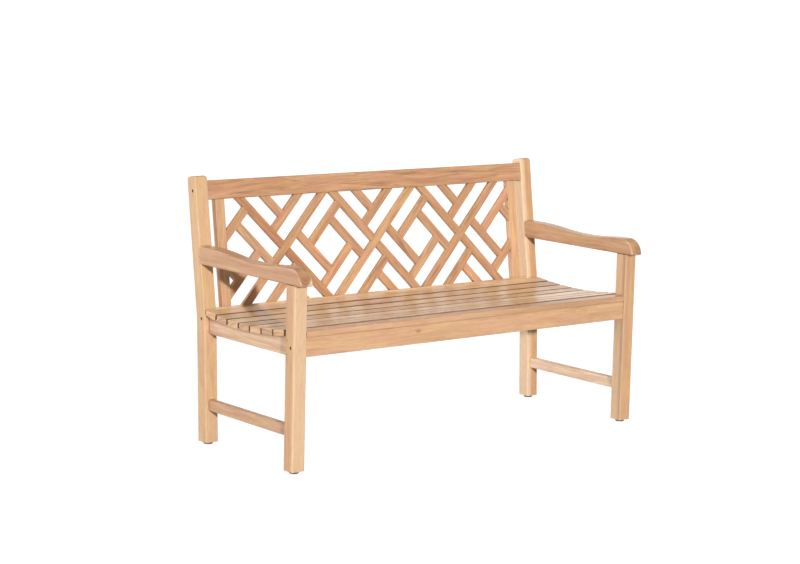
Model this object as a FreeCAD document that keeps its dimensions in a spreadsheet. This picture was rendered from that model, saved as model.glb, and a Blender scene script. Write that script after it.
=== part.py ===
import FreeCAD, Part
import math
import os
import re

import Sketcher

# Driving dimensions in millimetres and degrees. Heights are above the floor and depths are behind the
# front faces of the front legs. Sizes of the back are measured up its slope from the bend of the posts.
SIZES = {
    # Legs and rear posts
    "bench_length": 1500,
    "leg_width": 50,
    "leg_depth": 50,
    "leg_edge_radius": 5,
    "seat_depth": 515,
    "lower_rake": 2.3,
    "back_rake": 8.14,
    "post_horn": 16.9,
    "post_top_radius": 10,
    # Foot glides
    "glide_height": 8,
    "glide_diameter": 32,
    "glide_edge_radius": 2,
    "glide_nail_diameter": 4,
    "glide_nail_length": 18,
    # Arms
    "arm_height": 610.5,
    "arm_thickness": 56,
    "arm_overhang": 29,
    "arm_waist_setback": 285,
    "arm_waist_drop": 11,
    "arm_crest_setback": 10,
    "arm_crest_rise": 5,
    "arm_edge_radius": 6,
    "arm_tenon_height": 34,
    "arm_tenon_centre": 26.5,
    "leg_tenon_size": 26,
    "leg_tenon_length": 35,
    # Seat frame
    "seat_rail_bottom": 378,
    "bend_rise": 53,
    "front_rail_height": 64,
    "front_rail_thickness": 28,
    "front_rail_recess": 6,
    "side_rail_margin": 6,
    "side_rail_thickness": 26,
    "side_rail_edge_radius": 2,
    "side_rail_front_tenon": 54,
    "side_rail_rear_tenon": 36,
    "seat_low_setback": 217,
    "seat_low_rise": 47.5,
    "seat_hollow_radius": 1570,
    "bearer_rise": 12,
    "bearer_thickness": 30,
    "bearer_edge_radius": 2,
    "bearer_tenon_drop": 26,
    "bearer_tenon_height": 22,
    "bearer_tenon_length": 12,
    # Seat slats
    "slat_width": 57.5,
    "slat_thickness": 20,
    "slat_least_gap": 8,
    "slat_front_gap": 12.25,
    "slat_rear_gap": 0.5,
    "slat_edge_radius": 3,
    "slat_end_inset": 4,
    "front_slat_recess": 2,
    "front_slat_width": 49,
    "front_slat_gap": 0.8,
    # Stretchers
    "stretcher_bottom": 117,
    "stretcher_height": 37,
    "stretcher_thickness": 26,
    "stretcher_inset": 13,
    "stretcher_edge_radius": 3,
    # Joints of the side frames
    "tenon_length": 20,
    "tenon_thickness": 12,
    "tenon_shoulder": 5,
    "tenon_fit": 0.2,
    # Back frame
    "panel_recess": 7.5,
    "panel_thickness": 23,
    "lower_rail_height": 66,
    "back_opening": 363,
    "top_rail_height": 65.5,
    "rail_edge_radius": 3,
    "rail_tenon_length": 11,
    "rail_tenon_thickness": 11,
    "rail_tenon_shoulder": 8,
    "stile_gap": 29.25,
    "stile_width": 37.5,
    "stile_edge_radius": 2,
    "stile_tenon_length": 20,
    "stile_tenon_thickness": 9,
    # Lattice
    "lattice_step": 104,
    "lattice_end_cut": 50.75,
    "lattice_apex_gap": 44.7,
    "bar_width": 28.5,
    "bar_thickness": 15,
    "bar_edge_radius": 1.5,
    "bar_setback": 1,
    "bar_tenon_length": 7,
    "bar_tenon_thickness": 6,
    "bar_tenon_shoulder": 5,
    # Frame bolts, barrel nuts, pegs and screws
    "bolt_diameter": 6,
    "bolt_head_diameter": 10,
    "bolt_head_height": 6,
    "bolt_socket_width": 5,
    "bolt_socket_depth": 3,
    "bolt_recess": 12,
    "bolt_reach": 8,
    "nut_diameter": 10,
    "nut_length": 16,
    "nut_distance": 35,
    "peg_diameter": 6,
    "peg_length": 40,
    "peg_edge": 10,
    "peg_spacing": 45,
    "arm_peg_depth": 8,
    "screw_diameter": 4.5,
    "screw_head_diameter": 9,
    "screw_head_height": 3,
    "screw_grip": 24,
    "screw_bite": 12,
    "front_screw_margin": 70,
    "hole_fit": 0.2,
}
# Places that follow from the driving dimensions. The lattice's pitch puts the corners of the end pinwheels
# behind the stiles, and its slope leaves the apex gap between neighbouring long bars at the rails.
LAYOUT = {
    "bend_height": "seat_rail_bottom + bend_rise",
    "post_upper_length": "lower_rail_height / 2 + back_opening + top_rail_height + post_horn",
    "arm_waist_depth": "seat_depth - arm_waist_setback",
    "arm_crest_depth": "seat_depth - arm_crest_setback",
    "seat_low_depth": "seat_depth - seat_low_setback",
    "seat_low_height": "seat_rail_bottom + seat_low_rise",
    "bearer_bottom": "seat_rail_bottom + bearer_rise",
    "first_slat_depth": "leg_depth + slat_front_gap + slat_width / 2",
    "last_slat_depth": "seat_depth - slat_rear_gap - slat_width / 2",
    "stile_inner": "bench_length / 2 - leg_width - stile_gap - stile_width",
    "lattice_pitch": "(stile_inner + lattice_step + lattice_end_cut) / 2",
    "lattice_slope": "back_opening / (lattice_pitch - lattice_apex_gap)",
    "lattice_angle": "atan(lattice_slope)",
    "rear_extreme": (
        "seat_depth + (post_upper_length - post_top_radius) * sin(back_rake)"
        " + (leg_depth - post_top_radius) * cos(back_rake) + post_top_radius"
    ),
    "mid_depth": "(rear_extreme - arm_overhang) / 2",
}
FRONT_SCREW_COUNT = 4
SIDES = {"left": -1, "right": 1}
CROSSINGS = {"left": -1, "centre": 0, "right": 1}
# Edges longer than this are the long edges of a piece.
LONG_EDGE = 200

doc = FreeCAD.newDocument("garden_bench")
nodes = {}


def cell_of(word):
    """A reference to the cell that holds a named size or place, or the word itself."""
    if word in SIZES:
        return f"Sizes.{word}"
    if word in LAYOUT:
        return f"Layout.{word}"
    return word


def bound(text):
    """The expression with every named size and place turned into a reference to its cell."""
    return re.sub(r"[a-z_]+", lambda found: cell_of(found[0]), text)


def fill_sheet(name, cells):
    """A sheet with one alias for each named cell."""
    filled = doc.addObject("Spreadsheet::Sheet", name)
    for row, (alias, content) in enumerate(cells.items(), start=1):
        filled.set(f"A{row}", alias)
        filled.set(f"B{row}", content)
        filled.setAlias(f"B{row}", alias)
    doc.recompute()
    return filled


sheet = fill_sheet("Sizes", {alias: str(size) for alias, size in SIZES.items()})
fill_sheet("Layout", {alias: f"={bound(text)}" for alias, text in LAYOUT.items()})


def value(text):
    """The present value of an expression."""
    result = sheet.evalExpression(bound(text))
    return float(getattr(result, "Value", result))


# Places that several pieces share
OUTER = "(bench_length / 2)"
INNER = "(bench_length / 2 - leg_width)"
LEG_CENTRE = "(bench_length / 2 - leg_width / 2)"
SPAN = "(bench_length - 2 * leg_width)"
ARM_TOP = "(arm_height + arm_thickness)"
FRONT_RAIL_TOP = "(seat_rail_bottom + front_rail_height)"
FRONT_RAIL_MIDDLE = "(front_rail_recess + front_rail_thickness / 2)"
PANEL_MIDDLE = "(panel_recess + panel_thickness / 2)"
BAR_MIDDLE = "(panel_recess + bar_setback + bar_thickness / 2)"
OPENING_LOW = "(lower_rail_height / 2)"
OPENING_HIGH = "(lower_rail_height / 2 + back_opening)"
LATTICE_MIDDLE = "(lower_rail_height / 2 + back_opening / 2)"
TOP_RAIL_MIDDLE = "(lower_rail_height / 2 + back_opening + top_rail_height / 2)"
STILE_OUTER = f"({INNER} - stile_gap)"
ARM_TENON_HEIGHT = "(arm_height + arm_tenon_centre)"
PEG_HEIGHT = "(seat_rail_bottom + tenon_shoulder + side_rail_front_tenon / 2)"
# Each slat keeps at least the least gap to the next, and the gaps are made equal.
SLAT_RUN = value("(last_slat_depth - first_slat_depth) / (slat_width + slat_least_gap)")
SLAT_COUNT = math.floor(SLAT_RUN) + 1


def raked(depth, rise):
    """Depth and height of a point of the back, from its depth behind the posts' face and its rise."""
    return (
        f"(seat_depth + ({depth}) * cos(back_rake) + ({rise}) * sin(back_rake))",
        f"(bend_height + ({rise}) * cos(back_rake) - ({depth}) * sin(back_rake))",
    )


def unraked(depth, height):
    """The reverse of raked: a point's place in the frame of the back."""
    return (
        f"((({depth}) - seat_depth) * cos(back_rake) - (({height}) - bend_height) * sin(back_rake))",
        f"((({depth}) - seat_depth) * sin(back_rake) + (({height}) - bend_height) * cos(back_rake))",
    )


def post_front_low(height):
    """Depth of the post's front face below the bend."""
    return f"(seat_depth + (({height}) - bend_height) * tan(lower_rake))"


def post_front_high(height):
    """Depth of the post's front face above the bend."""
    return f"(seat_depth + (({height}) - bend_height) * tan(back_rake))"


def hollow(depth):
    """Height of the hollowed seat line at a depth."""
    return (
        "(seat_low_height + seat_hollow_radius"
        f" - sqrt(seat_hollow_radius ^ 2 - (({depth}) - seat_low_depth) ^ 2))"
    )


def upright_body(name):
    """An empty body in the bench's own directions, with depths counted from the front legs."""
    body = doc.addObject("PartDesign::Body", name)
    base = "vector(0; -mid_depth; 0)"
    body.setExpression("Placement", bound(f"placement({base}; rotation(vector(1; 0; 0); 0))"))
    return body


def back_body(name):
    """An empty body in the frame of the back: Y is depth behind the posts' face, Z runs up the slope."""
    body = doc.addObject("PartDesign::Body", name)
    base = "vector(0; seat_depth - mid_depth; bend_height)"
    body.setExpression("Placement", bound(f"placement({base}; rotation(vector(1; 0; 0); -back_rake))"))
    return body


def arc_between(start, end, radius, turn):
    """The circle arc of less than half a turn from start to end, anticlockwise where turn is 1."""
    chord = end.sub(start)
    reach = math.sqrt(radius ** 2 - (chord.Length / 2) ** 2)
    across = FreeCAD.Vector(-chord.y, chord.x, 0).normalize() * (turn * reach)
    centre = start + chord / 2 + across
    first, last = (start, end) if turn > 0 else (end, start)
    first_angle = math.atan2(first.y - centre.y, first.x - centre.x)
    last_angle = math.atan2(last.y - centre.y, last.x - centre.x)
    circle = Part.Circle(centre, FreeCAD.Vector(0, 0, 1), radius)
    return Part.ArcOfCircle(circle, first_angle, last_angle)


def draw_outline(sketch, points, arcs):
    """A closed outline through points; arcs gives the radius and turn of the stretches that are round."""
    places = [FreeCAD.Vector(value(across), value(along), 0) for across, along in points]
    stretches = []
    for index, start in enumerate(places):
        end = places[(index + 1) % len(places)]
        if index in arcs:
            radius, turn = arcs[index]
            edge = sketch.addGeometry(arc_between(start, end, value(radius), turn))
            limit = sketch.addConstraint(Sketcher.Constraint("Radius", edge, value(radius)))
            sketch.setExpression(f"Constraints[{limit}]", bound(radius))
            stretches.append((edge, 1, 2) if turn > 0 else (edge, 2, 1))
        else:
            edge = sketch.addGeometry(Part.LineSegment(start, end))
            stretches.append((edge, 1, 2))
    for index, (edge, _, finish) in enumerate(stretches):
        following, begin, _ = stretches[(index + 1) % len(stretches)]
        sketch.addConstraint(Sketcher.Constraint("Coincident", edge, finish, following, begin))
    for (edge, begin, _), place, point in zip(stretches, places, points):
        for kind, size, text in (("DistanceX", place.x, point[0]), ("DistanceY", place.y, point[1])):
            limit = sketch.addConstraint(Sketcher.Constraint(kind, -1, 1, edge, begin, size))
            sketch.setExpression(f"Constraints[{limit}]", bound(text))


def draw_circle(sketch, across, along, diameter):
    """A circle about a point."""
    centre = FreeCAD.Vector(value(across), value(along), 0)
    circle = Part.Circle(centre, FreeCAD.Vector(0, 0, 1), value(diameter) / 2)
    edge = sketch.addGeometry(circle)
    limits = (
        Sketcher.Constraint("DistanceX", -1, 1, edge, 3, centre.x),
        Sketcher.Constraint("DistanceY", -1, 1, edge, 3, centre.y),
        Sketcher.Constraint("Diameter", edge, value(diameter)),
    )
    for limit, text in zip(limits, (across, along, diameter)):
        sketch.setExpression(f"Constraints[{sketch.addConstraint(limit)}]", bound(text))


def new_sketch(body, name, plane, offset):
    """A sketch on one of the body's planes: side looks along X, front along Y and plan along Z."""
    role = {"side": "YZ_Plane", "front": "XZ_Plane", "plan": "XY_Plane"}[plane]
    sketch = body.newObject("Sketcher::SketchObject", f"{name}_sketch")
    support = next(feature for feature in body.Origin.OriginFeatures if feature.Role == role)
    sketch.AttachmentSupport = (support, [""])
    sketch.MapMode = "FlatFace"
    # The front plane's normal points forwards, against the depth.
    sign = "-" if plane == "front" else ""
    sketch.setExpression("AttachmentOffset.Base.z", bound(f"{sign}({offset})"))
    return sketch


def extrude(body, kind, sketch, name, thickness):
    """A pad or pocket of the sketch, half its thickness to either side."""
    feature = body.newObject(f"PartDesign::{kind}", name)
    feature.Profile = sketch
    feature.SideType = "Symmetric"
    feature.setExpression("Length", bound(thickness))
    sketch.Visibility = False
    return feature


def pad(body, name, plane, middle, thickness, points, arcs=None):
    """Adds a prism of an outline, centred on a plane."""
    sketch = new_sketch(body, name, plane, middle)
    draw_outline(sketch, points, arcs or {})
    return extrude(body, "Pad", sketch, name, thickness)


def pocket(body, name, plane, middle, thickness, outlines):
    """Cuts prisms of one or more straight outlines, centred on a plane."""
    sketch = new_sketch(body, name, plane, middle)
    for points in outlines:
        draw_outline(sketch, points, {})
    return extrude(body, "Pocket", sketch, name, thickness)


def drill(body, name, plane, middle, depth, diameter, places):
    """Cuts round holes of one diameter, centred on a plane."""
    sketch = new_sketch(body, name, plane, middle)
    for across, along in places:
        draw_circle(sketch, across, along, diameter)
    return extrude(body, "Pocket", sketch, name, depth)


def rectangle(low_across, high_across, low_along, high_along):
    """The corners of a rectangle, in order."""
    return [
        (low_across, low_along),
        (high_across, low_along),
        (high_across, high_along),
        (low_across, high_along),
    ]


def round_edges(body, name, radius, chosen):
    """Rounds the edges of the body so far that the test chooses."""
    doc.recompute()
    base = body.Tip
    names = [f"Edge{number}" for number, edge in enumerate(base.Shape.Edges, start=1) if chosen(edge)]
    fillet = body.newObject("PartDesign::Fillet", name)
    fillet.Base = (base, names)
    fillet.setExpression("Radius", bound(radius))
    return fillet


def runs_along(axis):
    """A test for long edges in one direction."""
    def chosen(edge):
        ends = [vertex.Point for vertex in edge.Vertexes]
        return len(ends) == 2 and abs(getattr(ends[1] - ends[0], axis)) > LONG_EDGE
    return chosen


def runs_with(kind):
    """A test for the edges along a rising or falling bar."""
    side = 1 if kind == "rise" else -1
    def chosen(edge):
        run = edge.Vertexes[-1].Point - edge.Vertexes[0].Point
        return side * run.x * run.z > 1
    return chosen


def finish(label, body):
    """Names a finished sub-part and keeps it as a node."""
    body.Label = label
    nodes[label] = body


def rear_tenon(post_face, length, low, high, fit="0"):
    """A level tenon or mortise that follows a raked post face, seen from the side, rooted in its piece."""
    low_height = f"({low} - {fit})"
    high_height = f"({high} + {fit})"
    return [
        (f"({post_face(low_height)} - tenon_shoulder)", low_height),
        (f"({post_face(low_height)} + {length} + {fit})", low_height),
        (f"({post_face(high_height)} + {length} + {fit})", high_height),
        (f"({post_face(high_height)} - tenon_shoulder)", high_height),
    ]


def front_tenon(face, length, low, high, fit="0"):
    """A level tenon or mortise that points forwards from an upright face, rooted behind it."""
    return rectangle(
        f"({face} - {length} - {fit})", f"({face} + tenon_shoulder)", f"({low} - {fit})", f"({high} + {fit})"
    )


SIDE_RAIL_LOW = "(seat_rail_bottom + tenon_shoulder)"
SIDE_RAIL_FRONT_HIGH = f"({SIDE_RAIL_LOW} + side_rail_front_tenon)"
SIDE_RAIL_REAR_HIGH = f"({SIDE_RAIL_LOW} + side_rail_rear_tenon)"
STRETCHER_LOW = "(stretcher_bottom + tenon_shoulder)"
STRETCHER_HIGH = "(stretcher_bottom + stretcher_height - tenon_shoulder)"
ARM_TENON_LOW = f"({ARM_TENON_HEIGHT} - arm_tenon_height / 2)"
ARM_TENON_HIGH = f"({ARM_TENON_HEIGHT} + arm_tenon_height / 2)"
MORTISE_THICKNESS = "(tenon_thickness + 2 * tenon_fit)"
SIDE_RAIL_CENTRE = f"({INNER} + side_rail_margin + side_rail_thickness / 2)"
STRETCHER_CENTRE = f"({OUTER} - stretcher_inset - stretcher_thickness / 2)"
PEG_DEPTH = "(leg_depth - peg_edge)"
PEG_HEIGHTS = (f"({PEG_HEIGHT} + peg_spacing / 2)", f"({PEG_HEIGHT} - peg_spacing / 2)")
ARM_PEG_DEPTH = f"({post_front_high(ARM_TENON_HEIGHT)} + arm_peg_depth)"
BOLT_HOLE = "(bolt_diameter + 2 * hole_fit)"
HEAD_HOLE = "(bolt_head_diameter + 2 * hole_fit)"
PEG_HOLE = "(peg_diameter + hole_fit)"
RAIL_MORTISE_CENTRE = f"({INNER} + (rail_tenon_length + tenon_fit) / 2)"


def drill_for_bolts(body, side, places):
    """Bolt holes right through a leg, with a wider hole for each head in its outer face."""
    drill(body, "bolt_holes", "side", f"{side} * {LEG_CENTRE}", "leg_width", BOLT_HOLE, places)
    head_middle = f"{side} * ({OUTER} - bolt_recess / 2)"
    drill(body, "bolt_head_holes", "side", head_middle, "bolt_recess", HEAD_HOLE, places)


def drill_for_pegs(body, side, places):
    """Blind peg holes in the outer face of a leg."""
    peg_middle = f"{side} * ({OUTER} - (peg_length + hole_fit) / 2)"
    drill(body, "peg_holes", "side", peg_middle, "peg_length + hole_fit", PEG_HOLE, places)


def drill_for_glide(body, across, along):
    """The nail hole under a leg."""
    middle = "glide_height + (glide_nail_length + hole_fit) / 2"
    depth = "glide_nail_length + hole_fit"
    drill(body, "glide_hole", "plan", middle, depth, "glide_nail_diameter + hole_fit", [(across, along)])


POST_FOOT = f"({post_front_low('glide_height')} + leg_depth / cos(lower_rake) / 2)"


def rail_mortise(middle_depth, middle_rise, height):
    """The raked mouth of a back rail's mortise in a post, seen from the side."""
    half_depth = "(rail_tenon_thickness / 2 + tenon_fit)"
    half_height = f"({height} / 2 - rail_tenon_shoulder + tenon_fit)"
    corners = rectangle(
        f"{middle_depth} - {half_depth}", f"{middle_depth} + {half_depth}",
        f"{middle_rise} - {half_height}", f"{middle_rise} + {half_height}",
    )
    return [raked(depth, rise) for depth, rise in corners]


def build_rear_post(name, side):
    """A post that leans forwards a little to the bend at the seat, and back above it."""
    body = upright_body(name)
    lean = "((back_rake + lower_rake) / 2)"
    mitre = "(leg_depth / cos((back_rake - lower_rake) / 2))"
    outline = [
        (post_front_low("glide_height"), "glide_height"),
        (f"{post_front_low('glide_height')} + leg_depth / cos(lower_rake)", "glide_height"),
        (f"seat_depth + {mitre} * cos({lean})", f"bend_height - {mitre} * sin({lean})"),
        raked("leg_depth", "post_upper_length"),
        raked("0", "post_upper_length"),
        ("seat_depth", "bend_height"),
    ]
    pad(body, "post", "side", f"{side} * {LEG_CENTRE}", "leg_width", outline)
    top_front, top_back = (value(height) for _, height in (outline[4], outline[3]))
    highest = max(top_front, top_back)
    lowest = min(top_front, top_back)

    def at_top(edge):
        return all(lowest - 1 < vertex.Z < highest + 1 for vertex in edge.Vertexes)

    round_edges(body, "top", "post_top_radius", at_top)
    round_edges(body, "long_edges", "leg_edge_radius", runs_along("z"))
    pocket(
        body, "rail_mortises", "side", f"{side} * {RAIL_MORTISE_CENTRE}", "rail_tenon_length + tenon_fit",
        [rail_mortise(PANEL_MIDDLE, TOP_RAIL_MIDDLE, "top_rail_height"),
         rail_mortise(PANEL_MIDDLE, "0", "lower_rail_height")],
    )
    mortises = (
        ("arm", LEG_CENTRE, post_front_high, ARM_TENON_LOW, ARM_TENON_HIGH),
        ("side_rail", SIDE_RAIL_CENTRE, post_front_low, SIDE_RAIL_LOW, SIDE_RAIL_REAR_HIGH),
        ("stretcher", STRETCHER_CENTRE, post_front_low, STRETCHER_LOW, STRETCHER_HIGH),
    )
    for piece, centre, face, low, high in mortises:
        mouth = rear_tenon(face, "tenon_length", low, high, "tenon_fit")
        pocket(body, f"{piece}_mortise", "side", f"{side} * {centre}", MORTISE_THICKNESS, [mouth])
    drill_for_bolts(body, side, [raked(PANEL_MIDDLE, TOP_RAIL_MIDDLE), raked(PANEL_MIDDLE, "0")])
    drill_for_pegs(body, side, [(ARM_PEG_DEPTH, ARM_TENON_HEIGHT)])
    drill_for_glide(body, f"{side} * {LEG_CENTRE}", POST_FOOT)
    finish(name, body)


def build_front_leg(name, side):
    """An upright leg with a square tenon for the arm on top."""
    body = upright_body(name)
    centre = f"{side} * {LEG_CENTRE}"
    pad(body, "leg", "side", centre, "leg_width", rectangle("0", "leg_depth", "glide_height", "arm_height"))
    round_edges(body, "long_edges", "leg_edge_radius", runs_along("z"))
    tenon = rectangle(
        "(leg_depth - leg_tenon_size) / 2", "(leg_depth + leg_tenon_size) / 2",
        "arm_height - tenon_shoulder", "arm_height + leg_tenon_length",
    )
    pad(body, "arm_tenon", "side", centre, "leg_tenon_size", tenon)
    mortises = (
        ("side_rail", SIDE_RAIL_CENTRE, SIDE_RAIL_LOW, SIDE_RAIL_FRONT_HIGH),
        ("stretcher", STRETCHER_CENTRE, STRETCHER_LOW, STRETCHER_HIGH),
    )
    for piece, middle, low, high in mortises:
        mouth = front_tenon("leg_depth", "tenon_length", low, high, "tenon_fit")
        pocket(body, f"{piece}_mortise", "side", f"{side} * {middle}", MORTISE_THICKNESS, [mouth])
    front_rail_mouth = rectangle(
        f"{FRONT_RAIL_MIDDLE} - rail_tenon_thickness / 2 - tenon_fit",
        f"{FRONT_RAIL_MIDDLE} + rail_tenon_thickness / 2 + tenon_fit",
        "seat_rail_bottom + rail_tenon_shoulder - tenon_fit",
        f"{FRONT_RAIL_TOP} - rail_tenon_shoulder + tenon_fit",
    )
    pocket(
        body, "front_rail_mortise", "side", f"{side} * {RAIL_MORTISE_CENTRE}",
        "rail_tenon_length + tenon_fit", [front_rail_mouth],
    )
    bolt_height = "(seat_rail_bottom + front_rail_height / 2)"
    drill_for_bolts(body, side, [(FRONT_RAIL_MIDDLE, bolt_height)])
    drill_for_pegs(body, side, [(PEG_DEPTH, height) for height in PEG_HEIGHTS])
    drill_for_glide(body, centre, "leg_depth / 2")
    finish(name, body)


def ogee_radius(run, rise):
    """The radius of two equal arcs that make a level-ended S between two heights."""
    return f"((({run}) ^ 2 + ({rise}) ^ 2) / (4 * ({rise})))"


def build_arm(name, side):
    """An arm with a quarter-round nose, whose top dips and rises again to the post."""
    body = upright_body(name)
    centre = f"{side} * {LEG_CENTRE}"
    nose_top = "(arm_thickness - arm_overhang)"
    waist = f"({ARM_TOP} - arm_waist_drop)"
    crest = f"({ARM_TOP} + arm_crest_rise)"
    rear_rise = "(arm_waist_drop + arm_crest_rise)"
    outline = [
        ("-arm_overhang", "arm_height"),
        (post_front_high("arm_height"), "arm_height"),
        (post_front_high(crest), crest),
        ("arm_crest_depth", crest),
        ("(arm_crest_depth + arm_waist_depth) / 2", f"({crest} + {waist}) / 2"),
        ("arm_waist_depth", waist),
        (f"(arm_waist_depth + {nose_top}) / 2", f"({waist} + {ARM_TOP}) / 2"),
        (nose_top, ARM_TOP),
    ]
    rear_radius = ogee_radius("arm_crest_depth - arm_waist_depth", rear_rise)
    front_radius = ogee_radius(f"arm_waist_depth - {nose_top}", "arm_waist_drop")
    arcs = {
        3: (rear_radius, 1),
        4: (rear_radius, -1),
        5: (front_radius, -1),
        6: (front_radius, 1),
        7: ("arm_thickness", 1),
    }
    pad(body, "arm", "side", centre, "leg_width", outline, arcs)
    rear = value(post_front_high("arm_height"))
    underside = value("arm_height")

    def along_profile(edge):
        ends = [vertex.Point for vertex in edge.Vertexes]
        return len(ends) == 2 and abs(ends[0].x - ends[1].x) < 1 and min(end.y for end in ends) < rear - 1

    def upper(edge):
        return along_profile(edge) and max(vertex.Z for vertex in edge.Vertexes) > underside + 1

    def under(edge):
        return along_profile(edge) and max(vertex.Z for vertex in edge.Vertexes) < underside + 1

    round_edges(body, "upper_edges", "arm_edge_radius", upper)
    round_edges(body, "under_edges", "arm_edge_radius", under)
    tenon = rear_tenon(post_front_high, "tenon_length", ARM_TENON_LOW, ARM_TENON_HIGH)
    pad(body, "post_tenon", "side", centre, "tenon_thickness", tenon)
    leg_mouth = rectangle(
        "(leg_depth - leg_tenon_size) / 2 - tenon_fit", "(leg_depth + leg_tenon_size) / 2 + tenon_fit",
        "arm_height - tenon_shoulder", "arm_height + leg_tenon_length + tenon_fit",
    )
    pocket(body, "leg_mortise", "side", centre, "leg_tenon_size + 2 * tenon_fit", [leg_mouth])
    drill(
        body, "peg_hole", "side", centre, "tenon_thickness + 2 * tenon_fit", PEG_HOLE,
        [(ARM_PEG_DEPTH, ARM_TENON_HEIGHT)],
    )
    finish(name, body)


def build_stretcher(name, side):
    """A low rail between the front and rear legs of one side."""
    body = upright_body(name)
    centre = f"{side} * {STRETCHER_CENTRE}"
    top = "(stretcher_bottom + stretcher_height)"
    outline = [
        ("leg_depth", "stretcher_bottom"),
        (post_front_low("stretcher_bottom"), "stretcher_bottom"),
        (post_front_low(top), top),
        ("leg_depth", top),
    ]
    pad(body, "stretcher", "side", centre, "stretcher_thickness", outline)
    round_edges(body, "long_edges", "stretcher_edge_radius", runs_along("y"))
    front = front_tenon("leg_depth", "tenon_length", STRETCHER_LOW, STRETCHER_HIGH)
    pad(body, "front_tenon", "side", centre, "tenon_thickness", front)
    rear = rear_tenon(post_front_low, "tenon_length", STRETCHER_LOW, STRETCHER_HIGH)
    pad(body, "rear_tenon", "side", centre, "tenon_thickness", rear)
    finish(name, body)


def slat_depth(index):
    """Depth of a slat's middle."""
    share = f"{index} / {SLAT_COUNT - 1}"
    return f"(first_slat_depth + {share} * (last_slat_depth - first_slat_depth))"


def slat_tilt(index):
    """The slope of the hollowed seat line under a slat."""
    return f"asin(({slat_depth(index)} - seat_low_depth) / seat_hollow_radius)"


# A flat slat on a hollow rests on the edges of its flat underside.
SLAT_LIFT = "(seat_hollow_radius - sqrt(seat_hollow_radius ^ 2 - (slat_width / 2 - slat_edge_radius) ^ 2))"


def slat_placement(index, across, above):
    """A place on a slat's middle line, at a height above its underside, tilted with the slat."""
    tilt = slat_tilt(index)
    height = f"({SLAT_LIFT} + ({above}))"
    depth = f"({slat_depth(index)} - {height} * sin({tilt}) - mid_depth)"
    level = f"({hollow(slat_depth(index))} + {height} * cos({tilt}))"
    return bound(f"placement(vector({across}; {depth}; {level}); rotation(vector(1; 0; 0); {tilt}))")


BEARERS = {
    "side_seat_rail_left": f"(-{SIDE_RAIL_CENTRE})",
    "side_seat_rail_right": SIDE_RAIL_CENTRE,
    "centre_seat_bearer": "0",
}


def cylinder(name, diameter, length, placement):
    """A plain cylinder from its base point along its own Z."""
    solid = doc.addObject("Part::Cylinder", name)
    solid.setExpression("Radius", bound(f"({diameter}) / 2"))
    solid.setExpression("Height", bound(length))
    solid.setExpression("Placement", placement)
    return solid


def drill_for_slat_screws(label, body, across):
    """Cuts the stepped screw holes of every slat up through a bearer."""
    holes = []
    for index in range(SLAT_COUNT):
        below = f"({hollow(slat_depth(index))} - seat_rail_bottom)"
        shank = cylinder(
            f"{label}_shank_hole_{index}", "screw_diameter + hole_fit", "screw_grip + slat_thickness",
            slat_placement(index, across, "-screw_grip"),
        )
        head = cylinder(
            f"{label}_head_hole_{index}", "screw_head_diameter + 2 * hole_fit", below,
            slat_placement(index, across, f"-screw_grip - {below}"),
        )
        holes += [shank, head]
    tool = doc.addObject("Part::MultiFuse", f"{label}_holes")
    tool.Shapes = holes
    cut = doc.addObject("Part::Cut", f"{label}_drilled")
    cut.Base = body
    cut.Tool = tool
    finish(label, cut)


def build_side_rail(name, side):
    """A seat rail with a hollowed top edge, tenoned into the front leg and the rear post."""
    body = upright_body(f"{name}_blank")
    centre = f"{side} * {SIDE_RAIL_CENTRE}"
    outline = [
        ("leg_depth", "seat_rail_bottom"),
        (post_front_low("seat_rail_bottom"), "seat_rail_bottom"),
        ("seat_depth", "bend_height"),
        ("seat_depth", hollow("seat_depth")),
        ("leg_depth", hollow("leg_depth")),
    ]
    pad(body, "rail", "side", centre, "side_rail_thickness", outline, {3: ("seat_hollow_radius", -1)})
    round_edges(body, "long_edges", "side_rail_edge_radius", runs_along("y"))
    front = front_tenon("leg_depth", "tenon_length", SIDE_RAIL_LOW, SIDE_RAIL_FRONT_HIGH)
    pad(body, "front_tenon", "side", centre, "tenon_thickness", front)
    rear = rear_tenon(post_front_low, "tenon_length", SIDE_RAIL_LOW, SIDE_RAIL_REAR_HIGH)
    pad(body, "rear_tenon", "side", centre, "tenon_thickness", rear)
    places = [(PEG_DEPTH, height) for height in PEG_HEIGHTS]
    drill(body, "peg_holes", "side", centre, "tenon_thickness + 2 * tenon_fit", PEG_HOLE, places)
    drill_for_slat_screws(name, body, BEARERS[name])


BEARER_FRONT = "(front_rail_recess + front_rail_thickness)"
BEARER_TENON_LOW = "(bend_height - bearer_tenon_drop)"
BEARER_TENON_HIGH = f"({BEARER_TENON_LOW} + bearer_tenon_height)"


def lower_rail_face(height):
    """Depth of the lower back rail's front face."""
    return f"(seat_depth + panel_recess / cos(back_rake) + (({height}) - bend_height) * tan(back_rake))"


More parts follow.
